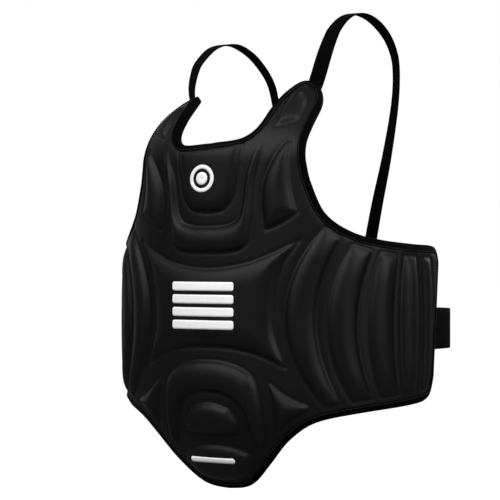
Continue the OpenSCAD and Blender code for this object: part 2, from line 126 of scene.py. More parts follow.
def make_studio():
    """White room: what the camera sees is white, and what lights the object is softer."""
    world = bpy.data.worlds.new("studio")
    bpy.context.scene.world = world
    world.use_nodes = True
    tree = world.node_tree
    seen = tree.nodes.new("ShaderNodeBackground")
    seen.inputs["Color"].default_value = (1, 1, 1, 1)
    lit = tree.nodes["Background"]
    lit.inputs["Color"].default_value = (0.9, 0.95, 1, 1)
    lit.inputs["Strength"].default_value = 0.08
    path = tree.nodes.new("ShaderNodeLightPath")
    mix = tree.nodes.new("ShaderNodeMixShader")
    tree.links.new(path.outputs["Is Camera Ray"], mix.inputs[0])
    tree.links.new(lit.outputs[0], mix.inputs[1])
    tree.links.new(seen.outputs[0], mix.inputs[2])
    tree.links.new(mix.outputs[0], tree.nodes["World Output"].inputs["Surface"])
    for name, values in LIGHTS.items():
        softbox(name, *values)
    view = bpy.context.scene.view_settings
    view.view_transform = "Standard"
    view.look = "None"


def make_floor():
    """Plain pale floor, well below the object, which hangs as a wearer would hold it."""
    # In metres
    half, level = 30, -0.25
    mesh = bpy.data.meshes.new("floor")
    corners = [(-half, -half, level), (half, -half, level), (half, half, level), (-half, half, level)]
    mesh.from_pydata(corners, [], [(0, 1, 2, 3)])
    floor = bpy.data.objects.new("floor", mesh)
    bpy.context.scene.collection.objects.link(floor)
    look = Look("pale_floor", Roughness=0.9)
    look.shader.inputs["Base Color"].default_value = (0.14, 0.14, 0.14, 1)
    look.shader.inputs["Emission Color"].default_value = (1, 1, 1, 1)
    path = look.node("LightPath")
    look.link(path.outputs["Is Camera Ray"], "Emission Strength")
    floor.data.materials.append(look.material)


# ---------------------------------------------------------------- materials

class Look:
    """A Principled material and short ways to add nodes to it."""

    def __init__(self, name, **constants):
        self.material = bpy.data.materials.new(name)
        self.material.use_nodes = True
        self.tree = self.material.node_tree
        self.shader = self.tree.nodes["Principled BSDF"]
        for socket, value in constants.items():
            self.shader.inputs[socket.replace("_", " ")].default_value = value

    def node(self, kind, **inputs):
        made = self.tree.nodes.new("ShaderNode" + kind)
        for socket, value in inputs.items():
            self.put(made.inputs[socket.replace("_", " ")], value)
        return made

    def put(self, socket, value):
        if isinstance(value, bpy.types.NodeSocket):
            self.tree.links.new(value, socket)
        else:
            socket.default_value = value

    def link(self, output, socket):
        self.tree.links.new(output, self.shader.inputs[socket])

    def math(self, operation, *values):
        made = self.tree.nodes.new("ShaderNodeMath")
        made.operation = operation
        for socket, value in zip(made.inputs, values):
            self.put(socket, value)
        return made.outputs[0]

    def place(self):
        """Place in the frame, in metres."""
        return self.node("TexCoord").outputs["Object"]

    def along_across(self):
        """Millimetres along and across a swept piece."""
        uv = self.node("UVMap")
        uv.uv_map = "weave"
        split = self.node("SeparateXYZ", Vector=uv.outputs[0])
        return split.outputs[0], split.outputs[1]

    def noise(self, scale, detail=3.0):
        made = self.node("TexNoise", Vector=self.place(), Scale=scale, Detail=detail)
        return made.outputs["Fac"]

    def cells(self, scale, randomness=1.0):
        made = self.node("TexVoronoi", Vector=self.place(), Scale=scale, Randomness=randomness)
        return made.outputs["Distance"]

    def wave(self, coordinate, period):
        """0 to 1 and back once a period."""
        turned = self.math("SINE", self.math("MULTIPLY", coordinate, TAU / period))
        return self.math("MULTIPLY_ADD", turned, 0.5, 0.5)

    def spread(self, value, low, high):
        made = self.node("MapRange", Value=value, To_Min=low, To_Max=high)
        return made.outputs["Result"]

    def colour(self, value, low, high):
        mix = self.tree.nodes.new("ShaderNodeMix")
        mix.data_type = "RGBA"
        self.put(mix.inputs["Factor"], value)
        mix.inputs["A"].default_value = (*low, 1)
        mix.inputs["B"].default_value = (*high, 1)
        colour = [o for o in mix.outputs if o.type == "RGBA"][0]
        self.link(colour, "Base Color")

    def bump(self, height, depth_mm, strength=1.0):
        made = self.node("Bump", Height=height, Distance=depth_mm * MM, Strength=strength)
        self.link(made.outputs[0], "Normal")


def leather():
    """Satin synthetic leather: fine pebbled grain, dull patches, edges rubbed a little pale."""
    look = Look("synthetic_leather", Specular_IOR_Level=0.15, Coat_Weight=0.02, Coat_Roughness=0.4)
    grain = look.cells(950)
    creases = look.noise(420, 4)
    height = look.math("MULTIPLY_ADD", creases, 0.7, grain)
    look.bump(height, 0.12, 0.55)
    patches = look.noise(22, 3)
    look.link(look.spread(patches, 0.38, 0.50), "Roughness")
    edges = look.node("NewGeometry").outputs["Pointiness"]
    rubbed = look.node("MapRange", Value=edges, From_Min=0.5, From_Max=0.6).outputs["Result"]
    wear = look.math("MULTIPLY_ADD", rubbed, look.noise(60), look.math("MULTIPLY", patches, 0.3))
    look.colour(wear, (0.0026, 0.0026, 0.0029), (0.007, 0.007, 0.0076))
    return look.material


def woven(name, period, base, pale):
    """Woven tape: fine cords across, crossed by the weft."""
    look = Look(name, Specular_IOR_Level=0.025)
    along, across = look.along_across()
    weft = look.wave(along, period)
    warp = look.wave(look.math("ADD", across, look.math("MULTIPLY", along, 0.5)), period * 1.3)
    height = look.math("MULTIPLY", weft, warp)
    fuzz = look.noise(1500, 2)
    look.bump(look.math("MULTIPLY_ADD", fuzz, 0.4, height), 0.22)
    # Painted shade: the hollows of the weave are coloured darker and the raised crossings paler, varied
    # at random by the noise
    look.colour(look.math("MULTIPLY", height, look.noise(90)), base, pale)
    look.link(look.spread(fuzz, 0.72, 0.88), "Roughness")
    return look.material


def elastic(name, period=1.55):
    """Ribbed elastic: cords run along the band and fine weft crosses them."""
    look = Look(name, Specular_IOR_Level=0.02)
    along, across = look.along_across()
    cords = look.wave(across, period)
    weft = look.wave(look.math("ADD", along, look.math("MULTIPLY", cords, 0.3)), 0.8)
    height = look.math("MULTIPLY_ADD", weft, 0.25, cords)
    fuzz = look.noise(1300, 2)
    look.bump(look.math("MULTIPLY_ADD", fuzz, 0.3, height), 0.28)
    # Painted shade: the grooves between the cords are coloured darker and the cord tops paler, varied
    # at random by the noise
    groove_shade_and_tone = look.math("MULTIPLY", height, look.noise(70))
    look.colour(groove_shade_and_tone, (0.0005, 0.0005, 0.0006), (0.0026, 0.0026, 0.0028))
    look.link(look.spread(fuzz, 0.6, 0.78), "Roughness")
    return look.material


def knitted_mesh():
    """Spacer mesh of the lining: rows of small round holes in a soft knit."""
    look = Look("knitted_mesh", Specular_IOR_Level=0.15, Sheen_Weight=0.05, Sheen_Roughness=0.6)
    holes = look.cells(330, 0.15)
    rim = look.node("MapRange", Value=holes, From_Min=0.12, From_Max=0.34).outputs["Result"]
    knit = look.noise(1400, 2)
    look.bump(look.math("MULTIPLY_ADD", knit, 0.3, rim), 0.5)
    # Painted shade: the holes are coloured dark, as the shade inside them would look
    look.colour(rim, (0.002, 0.002, 0.0022), (0.016, 0.0165, 0.018))
    look.link(look.spread(knit, 0.75, 0.95), "Roughness")
    return look.material


def foam():
    """Closed-cell foam with fine pores."""
    look = Look("closed_cell_foam", Specular_IOR_Level=0.3)
    pores = look.cells(700)
    look.bump(pores, 0.3)
    look.colour(look.noise(140), (0.035, 0.035, 0.04), (0.06, 0.06, 0.065))
    look.link(look.spread(pores, 0.95, 0.75), "Roughness")
    return look.material


def ink():
    """Matt printed ink that follows the grain below it."""
    look = Look("printed_ink", Specular_IOR_Level=0.3)
    grain = look.cells(950)
    look.bump(grain, 0.08, 0.5)
    look.colour(look.noise(260, 4), (0.80, 0.80, 0.79), (0.92, 0.92, 0.91))
    look.link(look.spread(look.noise(40), 0.45, 0.6), "Roughness")
    return look.material


def moulded_plastic():
    """Black moulded plastic with a fine spark-eroded texture."""
    look = Look("moulded_plastic", Specular_IOR_Level=0.5)
    texture = look.noise(1800, 3)
    look.bump(texture, 0.05, 0.6)
    look.colour(look.noise(50), (0.010, 0.010, 0.011), (0.018, 0.018, 0.019))
    look.link(look.spread(texture, 0.3, 0.45), "Roughness")
    return look.material


def pile(name, scale, depth):
    """Brushed loops or moulded hooks on a woven ground."""
    look = Look(name, Specular_IOR_Level=0.25, Sheen_Weight=0.1, Sheen_Roughness=0.6)
    tufts = look.cells(scale, 0.7)
    look.bump(tufts, depth)
    look.colour(tufts, (0.018, 0.018, 0.019), (0.004, 0.004, 0.004))
    look.link(look.spread(look.noise(300), 0.7, 0.95), "Roughness")
    return look.material


def thread():
    """Twisted polyester thread."""
    look = Look("sewing_thread", Specular_IOR_Level=0.35)
    strands = look.noise(2500, 1)
    look.bump(strands, 0.08)
    look.colour(strands, (0.005, 0.005, 0.0055), (0.016, 0.016, 0.017))
    look.link(look.spread(strands, 0.45, 0.65), "Roughness")
    return look.material


# ---------------------------------------------------------------- the shell's surface

def turn(s):
    """Angle round the torso, in radians, after s millimetres."""
    return np.pi * s / HALF_GIRTH - FLATNESS / 2 * np.sin(TAU * s / HALF_GIRTH)


PLAN_S = np.arange(HALF_GIRTH + 1)
PLAN_X = np.concatenate([[0], np.cumsum(np.cos(turn(PLAN_S[:-1] + 0.5)))])
PLAN_Y = np.concatenate([[0], np.cumsum(np.sin(turn(PLAN_S[:-1] + 0.5)))])


def below_tuck(z):
    return np.maximum(0, 1 - z / TUCK_Z)


def above_lean(z):
    return np.maximum(0, (z - LEAN_Z) / (TAB_Z - LEAN_Z))


def lean_at(s):
    return LEAN + SHOULDER_WRAP * (s / 100) ** 2


def setback(s, z):
    return TUCK * below_tuck(z) ** 2 + lean_at(s) * above_lean(z) ** 2


def slope_up(s, z):
    return 2 * lean_at(s) * above_lean(z) / (TAB_Z - LEAN_Z) - 2 * TUCK * below_tuck(z) / TUCK_Z


def slope_round(s, z):
    return 2 * SHOULDER_WRAP * s / 100**2 * above_lean(z) ** 2


def eased(t):
    f = np.clip(t, 0, 1)
    return f * f * (3 - 2 * f)


def sunk(s, z):
    """Height on the plan of a place on the shell: the right shoulder hangs lower."""
    share = eased((DROP_FROM_S - s) / DROP_OVER_S)
    return z - SHOULDER_DROP * share * np.maximum(0, (z - DROP_FROM_Z) / (DROP_FULL_Z - DROP_FROM_Z))


def unit(v):
    return v / np.linalg.norm(v, axis=-1, keepdims=True)


def outward(s, h):
    t = turn(s)
    return unit(np.stack([np.sin(t) + slope_round(s, h), -np.cos(t), np.cos(t) * slope_up(s, h)], -1))


def on_shell(s, z, n):
    s, z, n = np.broadcast_arrays(np.asarray(s, float), np.asarray(z, float), np.asarray(n, float))
    h = sunk(s, z)
    x = np.sign(s) * np.interp(np.abs(s), PLAN_S, PLAN_X)
    y = np.interp(np.abs(s), PLAN_S, PLAN_Y) + setback(s, h) - TORSO_DEPTH
    return np.stack([x, y, h], -1) + n[..., None] * outward(s, h)


def curve(points, m):
    """Smooth curve through points, m samples a stretch."""
    p = np.array(points, float)
    p = np.vstack([p[:1], p, p[-1:]])
    f = np.arange(m)[:, None] / m
    stretches = [
        b + 0.5 * f * (c - a + f * (2 * a - 5 * b + 4 * c - d + f * (3 * (b - c) + d - a)))
        for a, b, c, d in zip(p, p[1:], p[2:], p[3:])
    ]
    return np.vstack(stretches + [p[-1:]])


def mirrored(points):
    p = np.array(points, float)[::-1].copy()
    p[:, 0] *= -1
    return p


def both_sides(points):
    """A left-hand line that starts on the centre line, carried over to both sides."""
    return np.vstack([mirrored(points), np.array(points, float)[1:]])


TOP_POINTS = [
    (0, 423.5), (36, 426.5), (53, 434.5), (60.5, 447), (62.5, 468), (64.3, 486), (70, 499.5),
    (84, 495.5), (99, 485.5), (112, 469.5), (118.5, 446), (121, 420), (124.2, 397), (130, 374),
    (147, 338), (178, 316), (215, 306), (262, 301), (300, 299), (314, 293), (320, 280),
]
HEM_POINTS = [
    (0, 4), (24, 6.5), (43, 15), (69, 38), (100, 68), (135, 89), (190, 100), (262, 108),
    (282, 112), (295, 120), (304, 138),
]
TOP_LINE = curve(TOP_POINTS, 8)
HEM_LINE = curve(HEM_POINTS, 8)
END_LINE = np.linspace(HEM_LINE[-1], TOP_LINE[-1], 40)
HALF_OUTLINE = np.vstack([HEM_LINE, END_LINE[1:-1], TOP_LINE[::-1]])
OUTLINE = np.vstack([HALF_OUTLINE, mirrored(HALF_OUTLINE)])


def depth_inside(s, z, loop):
    """Distance to a closed line of (s, z): positive inside it and negative outside."""
    nearest = np.full(s.shape, np.inf)
    inside = np.zeros(s.shape, bool)
    for (a, b), (c, d) in zip(loop, np.roll(loop, -1, 0)):
        ds, dz = c - a, d - b
        if ds == 0 and dz == 0:
            continue
        f = np.clip(((s - a) * ds + (z - b) * dz) / (ds * ds + dz * dz), 0, 1)
        nearest = np.minimum(nearest, (s - a - f * ds) ** 2 + (z - b - f * dz) ** 2)
        if dz != 0:
            inside ^= ((b > z) != (d > z)) & (s < a + ds * (z - b) / dz)
    return np.where(inside, 1, -1) * np.sqrt(nearest)


# ---------------------------------------------------------------- pads

# Sides of each pad, as [bottom, top, left, right] lists of (s, z)
CHEST = [
    [(-22, 344), (0, 341), (22, 344)], [(-47, 438), (0, 436), (47, 438)],
    [(-22, 344), (-34, 358), (-40, 384), (-47, 438)], [(22, 344), (34, 358), (40, 384), (47, 438)],
]
BOLSTER = [
    both_sides([(0, 292), (30, 293), (51, 301), (58, 330), (63, 385), (77, 428)]),
    both_sides([(0, 323), (22, 324), (40, 331), (48, 350), (53, 387), (65, 424)]),
    [(-77, 428), (-65, 424)], [(77, 428), (65, 424)],
]
STAR_RIGHT = [(101, 153), (88, 190), (86, 215), (89, 247), (98, 280), (118, 307)]
STAR = [
    both_sides([(0, 177), (38, 175), (72, 167), (101, 153)]),
    both_sides([(0, 272), (50, 278), (88, 292), (118, 307)]),
    [(-s, z) for s, z in STAR_RIGHT], STAR_RIGHT,
]
ARCH = [
    both_sides([(0, 122), (17, 121), (37, 113), (48, 98), (53, 80), (57, 60)]),
    both_sides([(0, 160), (24, 158), (47, 151), (63, 137), (69, 110), (70, 85), (68, 58)]),
    [(-57, 60), (-68, 58)], [(57, 60), (68, 58)],
]
NAVEL = [
    [(-31, 73), (3, 70), (37, 73)], [(-22, 103), (3, 109), (28, 103)],
    [(-31, 73), (-32, 88), (-22, 103)], [(37, 73), (38, 88), (28, 103)],
]
TONGUE = [
    [(-50, 38), (-30, 20), (0, 14), (30, 20), (50, 38)],
    [(-48, 50), (-24, 57), (0, 59), (24, 57), (48, 50)],
    [(-50, 38), (-48, 50)], [(50, 38), (48, 50)],
]
SIDE_CHEST = [
    [(78, 320), (98, 329), (115, 341)], [(101, 424), (106, 422)],
    [(78, 320), (73, 347), (75, 378), (87, 406), (101, 424)],
    [(115, 341), (109, 368), (107, 396), (106, 422)],
]
SHOULDER = [
    [(80, 440), (92, 443), (104, 446)], [(73, 483), (83, 482), (93, 475)],
    [(80, 440), (76, 463), (73, 483)], [(104, 446), (101, 463), (93, 475)],
]
HIP = [
    [(87, 77), (104, 90), (127, 103)], [(80, 137), (101, 120), (129, 108)],
    [(87, 77), (85, 107), (80, 137)], [(127, 103), (129, 108)],
]
# Edges of a wing's ribs: s at their ends and at half height
RIB_FRONTS = [(147, 101), (178, 150), (212, 197), (244, 240), (273, 278)]
RIB_BACKS = [(165, 137), (203, 184), (235, 228), (264, 267), (291, 298)]
RIB_MARGIN = 14


def rib_edge(ends, middle):
    low = np.interp(ends, HEM_LINE[:, 0], HEM_LINE[:, 1]) + RIB_MARGIN
    high = np.interp(ends, TOP_LINE[:, 0], TOP_LINE[:, 1]) - RIB_MARGIN
    t = np.linspace(0, 1, 9)
    return np.stack([ends + (middle - ends) * 4 * t * (1 - t), low + t * (high - low)], -1)


def rib_sides(front, back):
    left, right = rib_edge(*front), rib_edge(*back)
    return [[left[0], right[0]], [left[-1], right[-1]], left, right]


# Name: its sides, the width of its shoulder, its share of the full rise, and how softly the
# shoulder starts: 0.5 is a round edge and 1 a sloping one
PADS = {
    "chest": (CHEST, 16, 0.9, 0.6),
    "bolster": (BOLSTER, 15, 1.05, 0.55),
    "star": (STAR, 27, 1.05, 0.6),
    "arch": (ARCH, 18, 1.05, 0.6),
    "navel": (NAVEL, 16, 0.9, 0.6),
    "tongue": (TONGUE, 18, 0.9, 0.6),
    "side_chest": (SIDE_CHEST, 22, 1.1, 0.7),
    "shoulder": (SHOULDER, 14, 0.7, 0.8),
    "hip": (HIP, 22, 1.2, 0.85),
}
RIB_SHARES = (1, 1, 1, 0.95, 0.6)
for k, edges in enumerate(zip(RIB_FRONTS, RIB_BACKS)):
    PADS[f"rib_{k + 1}"] = (rib_sides(*edges), 17 + k, RIB_SHARES[k], 0.65)

# Relief of the moulded cover on a one-millimetre grid of the left half
GRID_S = np.arange(0, 326)
GRID_Z = np.arange(-6, 514)
# Depth and half width of the crease pressed round each pad
PRESSED, PRESS_W = 1.7, 1.8
# Drop of the ground at the shell's edge, the width it takes, and its end in such widths
EDGE_ROLL, EDGE_ROLL_W, EDGE_LIMIT = 3.6, 15, 1.3
# Width along the edge over which pads and creases fade in
EDGE_FADE_W = 11
# How far outside its loop a pad's crease is worked out
CREASE_REACH = 8
# Distances from the shell's edge between which the ribs rise
RIB_FADE = (5, 50)
# The bolster's arms sink into the shell between these heights
ARM_FADE = (380, 432)
# Blur that rounds the relief, and the wider one for the layers below
SOFTEN, SOFTEN_BELOW = 1.1, 5


def pad_loop(sides):
    bottom, top, left, right = [curve(side, 6) for side in sides]
    return np.vstack([bottom, right[1:], top[::-1][1:], left[::-1][1:-1]])


def blurred(field, width):
    reach = int(3 * width) + 1
    kernel = np.exp(-0.5 * (np.arange(-reach, reach + 1) / width) ** 2)
    kernel /= kernel.sum()
    for axis in (0, 1):
        pad = [(reach, reach) if a == axis else (0, 0) for a in (0, 1)]
        field = np.apply_along_axis(np.convolve, axis, np.pad(field, pad, mode="edge"), kernel, "valid")
    return field


def make_relief():
    """Level of the cover's face over the whole shell, at [z][s]."""
    s, z = np.meshgrid(GRID_S.astype(float), GRID_Z.astype(float))
    depth = depth_inside(s, z, OUTLINE)
    level = GROUND_N - EDGE_ROLL * np.clip(1 - depth / EDGE_ROLL_W, 0, EDGE_LIMIT) ** 2
    raised = np.zeros(s.shape)
    pressed = np.zeros(s.shape)
    for name, (sides, shoulder, share, softness) in PADS.items():
        loop = pad_loop(sides)
        low, high = loop.min(0) - CREASE_REACH, loop.max(0) + CREASE_REACH
        columns = slice(*np.searchsorted(GRID_S, [low[0], high[0]]))
        lines = slice(*np.searchsorted(GRID_Z, [low[1], high[1]]))
        inside = depth_inside(s[lines, columns], z[lines, columns], loop)
        k = 1 - np.clip(inside / shoulder, 0, 1)
        height = share * PAD_RISE * (1 - k * k) ** softness
        crease = PRESSED * np.exp(-((inside / PRESS_W) ** 2))
        if name == "bolster":
            sunken = 1 - eased((z[lines, columns] - ARM_FADE[0]) / (ARM_FADE[1] - ARM_FADE[0]))
            height, crease = height * sunken, crease * sunken
        if name.startswith("rib"):
            reached = (depth[lines, columns] - RIB_FADE[0]) / (RIB_FADE[1] - RIB_FADE[0])
            height = height * np.sin(np.pi / 2 * np.clip(reached, 0, 1))
        raised[lines, columns] = np.maximum(raised[lines, columns], height)
        pressed[lines, columns] = np.maximum(pressed[lines, columns], crease)
    level += (raised - pressed) * eased(depth / EDGE_FADE_W)
    whole = np.hstack([level[:, :0:-1], level])
    return blurred(whole, SOFTEN)


RELIEF = make_relief()
SOFT_RELIEF = blurred(RELIEF, SOFTEN_BELOW)


def sampled(field, s, z):
    """Value of a field on the relief's grid at places (s, z)."""
    col = np.clip(np.asarray(s, float) + GRID_S[-1], 0, field.shape[1] - 1.001)
    row = np.clip(np.asarray(z, float) - GRID_Z[0], 0, field.shape[0] - 1.001)
    i, j = row.astype(int), col.astype(int)
    f, g = row - i, col - j
    lower = field[i, j] * (1 - g) + field[i, j + 1] * g
    upper = field[i + 1, j] * (1 - g) + field[i + 1, j + 1] * g
    return lower * (1 - f) + upper * f


# ---------------------------------------------------------------- mesh makers

def mesh_piece(name, points, faces, look, uv=None):
    """A new object from points in millimetres, with one material."""
    mesh = bpy.data.meshes.new(name)
    mesh.from_pydata((np.asarray(points) * MM).tolist(), [], [list(map(int, f)) for f in faces])
    mesh.validate()
    mesh.polygons.foreach_set("use_smooth", [True] * len(mesh.polygons))
    if uv is not None:
        layer = mesh.uv_layers.new(name="weave")
        corners = np.zeros(len(mesh.loops), int)
        mesh.loops.foreach_get("vertex_index", corners)
        layer.data.foreach_set("uv", np.asarray(uv, np.float32)[corners].ravel())
    mesh.materials.append(look)
    piece = bpy.data.objects.new(name, mesh)
    bpy.context.scene.collection.objects.link(piece)
    return piece


# Reach of the shell's cells, and how far inside the outline they keep, as a share of a cell
CELLS_S, CELLS_Z, RIM_SHARE = 322, 508, 0.35


def grid_quads(shape):
    """Corner numbers of the cells of a grid of points, at [i][j][corner]."""
    number = np.arange(shape[0] * shape[1]).reshape(shape)
    return np.stack([number[:-1, :-1], number[1:, :-1], number[1:, 1:], number[:-1, 1:]], -1)


def shell_grid(step, inset):
    """Square cells of (s, z) that cover the shell, with the rim moved onto the outline."""
    columns, lines = np.arange(-CELLS_S, CELLS_S + 1, step), np.arange(0, CELLS_Z, step)
    s, z = np.meshgrid(columns, lines, indexing="ij")
    depth = depth_inside(s.astype(float), z.astype(float), OUTLINE)
    good = depth > RIM_SHARE * step + inset
    cell = good[:-1, :-1] & good[1:, :-1] & good[1:, 1:] & good[:-1, 1:]
    used, quads = np.unique(grid_quads(s.shape)[cell], return_inverse=True)
    quads = quads.reshape(-1, 4)
    places = np.stack([s.ravel()[used], z.ravel()[used]], -1).astype(float)
    rim = open_edges(quads)
    ring = np.unique(rim)
    places[ring] = nearest_on(places[ring], OUTLINE, inset)
    return places, quads, rim


def open_edges(quads):
    """Edges that one face uses, in that face's direction."""
    edges = np.vstack([quads[:, [k, (k + 1) % 4]] for k in range(4)])
    ordered = np.sort(edges, axis=1)
    _, first, count = np.unique(ordered, axis=0, return_index=True, return_counts=True)
    return edges[first[count == 1]]


def nearest_on(places, outline, inset):
    """Nearest points of a closed line, moved inward by inset."""
    a, b = outline, np.roll(outline, -1, 0)
    keep = np.any(a != b, axis=1)
    a, b = a[keep], b[keep]
    d = b - a
    f = np.einsum("pkc,kc->pk", places[:, None] - a, d) / (d**2).sum(1)
    spots = a + np.clip(f, 0, 1)[..., None] * d
    best = ((spots - places[:, None]) ** 2).sum(-1).argmin(1)
    found = spots[np.arange(len(places)), best]
    inward = unit(places - found + 1e-9)
    return found + inset * inward


def closed_faces(quads, rim, count):
    """Faces of two like layers of points, count points apart, with walls along the rim."""
    walls = np.stack([rim[:, 1], rim[:, 0], rim[:, 0] + count, rim[:, 1] + count], -1)
    return np.vstack([quads, quads[:, ::-1] + count, walls])


def two_faced(name, places, quads, rim, high, low, look):
    """Closed piece between two levels over the same cells of (s, z)."""
    upper = on_shell(places[:, 0], places[:, 1], high)
    lower = on_shell(places[:, 0], places[:, 1], low)
    faces = closed_faces(quads, rim, len(places))
    return mesh_piece(name, np.vstack([upper, lower]), faces, look)


def run_along(line):
    """Distance along a line at each of its points."""
    return np.concatenate([[0], np.cumsum(np.linalg.norm(np.diff(line, axis=0), axis=1))])


def swept(name, rings, look):
    """Closed skin over rings[i][k] of points: i along the sweep and k round the section."""
    count, around = rings.shape[:2]
    number = np.arange(count * around).reshape(count, around)
    turned = np.roll(number, -1, 1)
    faces = np.stack([number[:-1], turned[:-1], turned[1:], number[1:]], -1).reshape(-1, 4).tolist()
    faces += [number[0][::-1].tolist(), number[-1].tolist()]
    along, across = run_along(rings.mean(1)), run_along(rings[0])
    uv = np.stack(np.broadcast_arrays(along[:, None], across[None]), -1).reshape(-1, 2)
    return mesh_piece(name, rings.reshape(-1, 3), faces, look, uv)


def band_section(width, thickness, flat_steps=6, round_steps=3):
    """Section of a flat band with rounded edges, as (across, up) pairs."""
    r = thickness / 2
    flat = np.linspace(-width / 2 + r, width / 2 - r, flat_steps + 1)
    arc = np.radians(np.linspace(90, -90, round_steps + 2)[1:-1])
    right = [(width / 2 - r + r * math.cos(a), r * math.sin(a)) for a in arc]
    left = [(-x, -y) for x, y in right]
    return np.array([(x, r) for x in flat] + right + [(x, -r) for x in flat[::-1]] + left)


def band(name, centres, asides, thicks, width, thickness, look):
    section = band_section(width, thickness)
    rings = (
        centres[:, None]
        + section[None, :, :1] * asides[:, None]
        + section[None, :, 1:] * thicks[:, None]
    )
    return swept(name, rings[:, ::-1], look)


# A stitch as places along its length and its girth there, in lengths and radii, its sides,
# and how strongly it bends down towards its ends
STITCH_STATIONS = (-0.5, -0.36, 0, 0.36, 0.5)
STITCH_GIRTHS = (0.25, 0.9, 1, 0.9, 0.25)
STITCH_AROUND, STITCH_DIP = 6, 2.2


def stitches(name, runs, look, pitch=3.6, length=2.7, radius=0.33):
    """Rows of separate stitches along runs of (points, normals)."""
    around, rings = STITCH_AROUND, len(STITCH_STATIONS)
    points, faces = [], []
    spokes = TAU * np.arange(around) / around
    for line, normals in runs:
        run = run_along(line)
        for middle in np.arange(pitch / 2, run[-1], pitch):
            ends = [
                np.array([np.interp(middle + e * length, run, line[:, c]) for c in range(3)])
                for e in (-0.5, 0.5)
            ]
            up = unit(np.array([np.interp(middle, run, normals[:, c]) for c in range(3)]))
            ahead = unit(ends[1] - ends[0])
            side = np.cross(up, ahead)
            base = len(points)
            for station, girth in zip(STITCH_STATIONS, STITCH_GIRTHS):
                lift = radius * (1 - STITCH_DIP * station**2)
                centre = ends[0] + (station + 0.5) * (ends[1] - ends[0]) + lift * up
                for a in spokes:
                    points.append(centre + radius * girth * (math.cos(a) * side + math.sin(a) * up))
            for i in range(rings - 1):
                for k in range(around):
                    a, b = base + i * around + k, base + i * around + (k + 1) % around
                    faces.append([a, b, b + around, a + around])
            faces.append([base + k for k in range(around)][::-1])
            faces.append([base + (rings - 1) * around + k for k in range(around)])
    return mesh_piece(name, np.array(points), faces, look)


def finish_piece(piece, stands_for=()):
    """Rides the piece on the shell and hides the CAD nodes it stands for."""
    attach(piece, "root")
    if stands_for:
        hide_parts(*stands_for)
    return piece


# ---------------------------------------------------------------- shell pieces

# Sizes of the cells and insets of the rims of the layers
COVER_CELL, COVER_INSET = 2, 0.3
FOAM_CELL, FOAM_INSET = 4, 1.0
LINING_CELL, LINING_INSET = 4, 0.4
# Gaps between the foam and the layers on it
COVER_GAP, LINING_GAP = 0.25, 0.2
# How far the lining dips where the cover is pressed down
LINING_DIP = 0.7


def make_cover(look):
    """One moulded cover over the foam, with every pad raised in it."""
    places, quads, rim = shell_grid(COVER_CELL, COVER_INSET)
    high = sampled(RELIEF, places[:, 0], places[:, 1])
    cover = two_faced("moulded_cover", places, quads, rim, high, high - COVER_T, look)
    pads = [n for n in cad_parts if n.endswith("_pad") or "_rib_pad_" in n]
    nodes = ["outer_cover", "chest_bolster", "belly_arch"] + pads
    return finish_piece(cover, stands_for=nodes)


def lowest_nearby(field, reach):
    """Lowest value of a field within some cells of each of its places."""
    lowest = field
    for _ in range(reach):
        shifts = [np.roll(lowest, d, a) for a in (0, 1) for d in (-1, 1)]
        lowest = np.minimum.reduce([lowest] + shifts)
    return lowest


def inner_level(s, z):
    """The lining lies a little deeper where the cover is pressed down between pads."""
    return LINING_DIP * np.clip(1 - (sampled(SOFT_RELIEF, s, z) - GROUND_N) / PAD_RISE, 0, 1)


def make_foam(look):
    """Moulded foam body between the lining and the cover."""
    places, quads, rim = shell_grid(FOAM_CELL, FOAM_INSET)
    under = lowest_nearby(RELIEF, FOAM_CELL)
    high = sampled(under, places[:, 0], places[:, 1]) - COVER_T - COVER_GAP
    low = inner_level(places[:, 0], places[:, 1]) + LINING_TOP + LINING_GAP
    body = two_faced("foam_body", places, quads, rim, high, low, look)
    return finish_piece(body, stands_for=["foam_core"])


def make_lining(look):
    """Knitted mesh lining, drawn over the foam's inner face."""
    places, quads, rim = shell_grid(LINING_CELL, LINING_INSET)
    low = inner_level(places[:, 0], places[:, 1])
    sheet = two_faced("mesh_lining", places, quads, rim, low + LINING_TOP, low, look)
    return finish_piece(sheet, stands_for=["lining"])


def shell_steps(line):
    """At each point of a line of (s, z): the step in (s, z) out of the shell by one millimetre."""
    s, z = line[:, 0], line[:, 1]
    spots = on_shell(s, z, 5)
    across = on_shell(s + 1, z, 5) - spots
    up = on_shell(s, z + 1, 5) - spots
    face = np.cross(across, up)
    aside = np.cross(unit(np.gradient(spots, axis=0)), unit(face))
    area = (face**2).sum(1)
    ds = (aside * np.cross(up, face)).sum(1) / area
    dz = (aside * np.cross(face, across)).sum(1) / area
    return np.stack([ds, dz], -1)


def evenly(line, spacing):
    """The same line with points a set distance apart."""
    run = run_along(line)
    marks = np.linspace(0, run[-1], max(2, int(round(run[-1] / spacing)) + 1))
    return np.stack([np.interp(marks, run, line[:, c]) for c in range(line.shape[1])], -1)


# Stations across each face of the tape, as distances out of the shell, then its fold
FACE_STATIONS = (-TAPE_W, -6.8, -4.6, -2.4, -0.4)
FOLD_BULGE = 1.0
FOLD_ANGLES = (60, 20, -20, -60)
# Gaps between the tape and the cover, and between the tape and the lining
TAPE_OVER_GAP, TAPE_UNDER_GAP = 0.12, 0.15
# Spacing of the points along a tape, and how thin its raw edges are
TAPE_STEP, TAPE_EDGE = 3.0, 0.3
# How far a seam sinks into the tape
SEAM_SINK = 0.05


